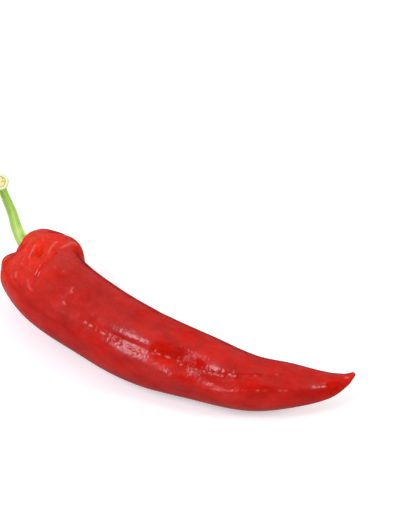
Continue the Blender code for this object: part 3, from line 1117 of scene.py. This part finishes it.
def makeRindMaterial():
    # matte, with fine fibres along it, greener in the grooves, painted shade below the head, and a
    # little translucent
    material, tree, shader = newMaterial("freshStemRind")
    stemPlace = addNode(tree, "ShaderNodeAttribute", attribute_name="stemPlace").outputs["Vector"]
    grooveGreenAndShade = addNode(tree, "ShaderNodeAttribute", attribute_name="grooveGreenAndShade").outputs["Fac"]
    combed = addNode(tree, "ShaderNodeVectorMath", {
        0: stemPlace, 1: rind["fibres"],
    }, operation="MULTIPLY")
    fibres = addNode(tree, "ShaderNodeTexNoise", {
        "Vector": combed.outputs[0], "Scale": 1.0, "Detail": 3.0,
    }).outputs["Fac"]
    blotches = addNode(tree, "ShaderNodeTexNoise", {
        "Vector": stemPlace, "Scale": rind["blotches"], "Detail": 3.0,
    }).outputs["Fac"]
    lighter, paler = [
        addNode(tree, "ShaderNodeMapRange", {0: pattern, 1: begin, 2: end, 4: most}).outputs[0]
        for pattern, (begin, end, most) in ((fibres, rind["lighter"]), (blotches, rind["paler"]))
    ]
    colour = linearColour(rind["dark"])
    for share, name in ((lighter, "light"), (paler, "pale"), (grooveGreenAndShade, "grooveGreenAndShade")):
        colour = addNode(tree, "ShaderNodeMix", {
            0: share, 6: colour, 7: linearColour(rind[name]),
        }, data_type="RGBA").outputs[2]
    tree.links.new(colour, shader.inputs["Base Color"])
    bump = addNode(tree, "ShaderNodeBump", {
        "Height": fibres, "Strength": rind["fibreBump"][0], "Distance": rind["fibreBump"][1],
    })
    tree.links.new(bump.outputs[0], shader.inputs["Normal"])
    shader.inputs["Roughness"].default_value = rind["roughness"]
    for name, value in rind["glow"].items():
        shader.inputs["Subsurface " + name].default_value = value
    return material


# the cut end: pale moist wood inside the rind, an olive ring, and a yellow pith
cutEnd = {
    "wood": "#E6EECA",
    "rim": "#BCE066",
    "pith": "#F4E7A4",
    "driedPith": "#CFAE62",
    "ring": "#AFB868",
    # millimetres from the middle of the stem where each one begins and ends
    "rimEdge": (3.3, 3.9),
    "pithEdge": (3.0, 2.5),
    "ringEdges": ((2.1, 2.5), (2.95, 2.55)),
    # pores about 1 mm across, coarser than real ones, which the pith dries round
    "pores": 1.1,
    "poreEdge": (0.42, 0.62),
    "poreBump": (0.6, 0.0003),
    "roughness": 0.6,
}


def makeCutMaterial():
    # freshly cut and moist: pale, matte and slightly porous
    material, tree, shader = newMaterial("cutStemPith")
    stemPlace = addNode(tree, "ShaderNodeAttribute", attribute_name="stemPlace").outputs["Vector"]
    flat = addNode(tree, "ShaderNodeVectorMath", {
        0: stemPlace, 1: (0.0, 1.0, 1.0),
    }, operation="MULTIPLY")
    away = addNode(tree, "ShaderNodeVectorMath", {0: flat.outputs[0]}, operation="LENGTH")
    away = away.outputs["Value"]
    pores = addNode(tree, "ShaderNodeTexNoise", {
        "Vector": flat.outputs[0], "Scale": cutEnd["pores"], "Detail": 3.0,
    }).outputs["Fac"]
    towardsRim, inPith, dried = [
        addNode(tree, "ShaderNodeMapRange", {0: value, 1: begin, 2: end}).outputs[0]
        for value, (begin, end) in (
            (away, cutEnd["rimEdge"]), (away, cutEnd["pithEdge"]), (pores, cutEnd["poreEdge"]),
        )
    ]
    outside, inside = [
        addNode(tree, "ShaderNodeMapRange", {
            0: away, 1: begin, 2: end,
        }, interpolation_type="SMOOTHSTEP").outputs[0]
        for begin, end in cutEnd["ringEdges"]
    ]
    ring = addNode(tree, "ShaderNodeMath", {0: outside, 1: inside}, operation="MULTIPLY")
    wood, pith = [
        addNode(tree, "ShaderNodeMix", {
            0: share, 6: linearColour(cutEnd[fresh]), 7: linearColour(cutEnd[other]),
        }, data_type="RGBA").outputs[2]
        for share, fresh, other in ((towardsRim, "wood", "rim"), (dried, "pith", "driedPith"))
    ]
    whole = addNode(tree, "ShaderNodeMix", {0: inPith, 6: wood, 7: pith}, data_type="RGBA")
    ringed = addNode(tree, "ShaderNodeMix", {
        0: ring.outputs[0], 6: whole.outputs[2], 7: linearColour(cutEnd["ring"]),
    }, data_type="RGBA")
    bump = addNode(tree, "ShaderNodeBump", {
        "Height": pores, "Strength": cutEnd["poreBump"][0], "Distance": cutEnd["poreBump"][1],
    })
    tree.links.new(ringed.outputs[2], shader.inputs["Base Color"])
    tree.links.new(bump.outputs[0], shader.inputs["Normal"])
    shader.inputs["Roughness"].default_value = cutEnd["roughness"]
    return material


def makeStem():
    calyxRows = calyxOutline()
    stemRows = stemOutline()
    mesh, ring, angle = ringedSphere("calyxAndStem", stem["sides"], len(calyxRows) + len(stemRows))
    onStem = ring >= len(calyxRows)
    share, rise = calyxRows[ring[~onStem]].T
    place, radius = stemRows[ring[onStem] - len(calyxRows)].T
    points = np.empty((len(ring), 3))
    points[~onStem] = calyxPoints(share, rise, angle[~onStem])
    points[onStem] = stemPoints(place, radius, angle[onStem])
    placePoints(mesh, points)

    # the same points on a straightened stem, for the patterns; the calyx runs on below it
    along, across = np.empty((2, len(ring)))
    along[onStem], across[onStem] = place, radius
    across[~onStem] = share * calyx["radius"]
    along[~onStem] = -across[~onStem]
    straight = np.stack([along, across * np.cos(angle), across * np.sin(angle)], axis=1)
    addAttribute(mesh, "stemPlace", "FLOAT_VECTOR", straight)
    grooveGreenAndShade = stem["grooveGreen"] * (0.5 - 0.5 * ridgeWave(along, angle))
    # painted shade: a darker green band just below the swollen head
    neck = stemLine["length"] - stem["neckBack"]
    grooveGreenAndShade += stem["shadeBelowHead"] * bell(along - neck, stem["neckReach"])
    addAttribute(mesh, "grooveGreenAndShade", "FLOAT", np.where(onStem, np.minimum(grooveGreenAndShade, 1), calyx["green"]))

    # the cut end: the faces whose corners all lie beyond the start of the head's rounding
    cutFrom = stemLine["length"] + stem["headRim"] - stem["headRounding"]
    beyond = along > cutFrom - stem["cutSlack"]
    corners = np.empty(len(mesh.loops), int)
    mesh.loops.foreach_get("vertex_index", corners)
    starts = np.empty(len(mesh.polygons), int)
    mesh.polygons.foreach_get("loop_start", starts)
    isCut = np.minimum.reduceat(beyond[corners].astype(int), starts)
    piece = addPiece(mesh, [makeRindMaterial(), makeCutMaterial()])
    mesh.polygons.foreach_set("material_index", isCut)
    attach(piece, "root")
    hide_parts("calyx_and_stem")


makeStem()
print("the calyx and the stem are made")
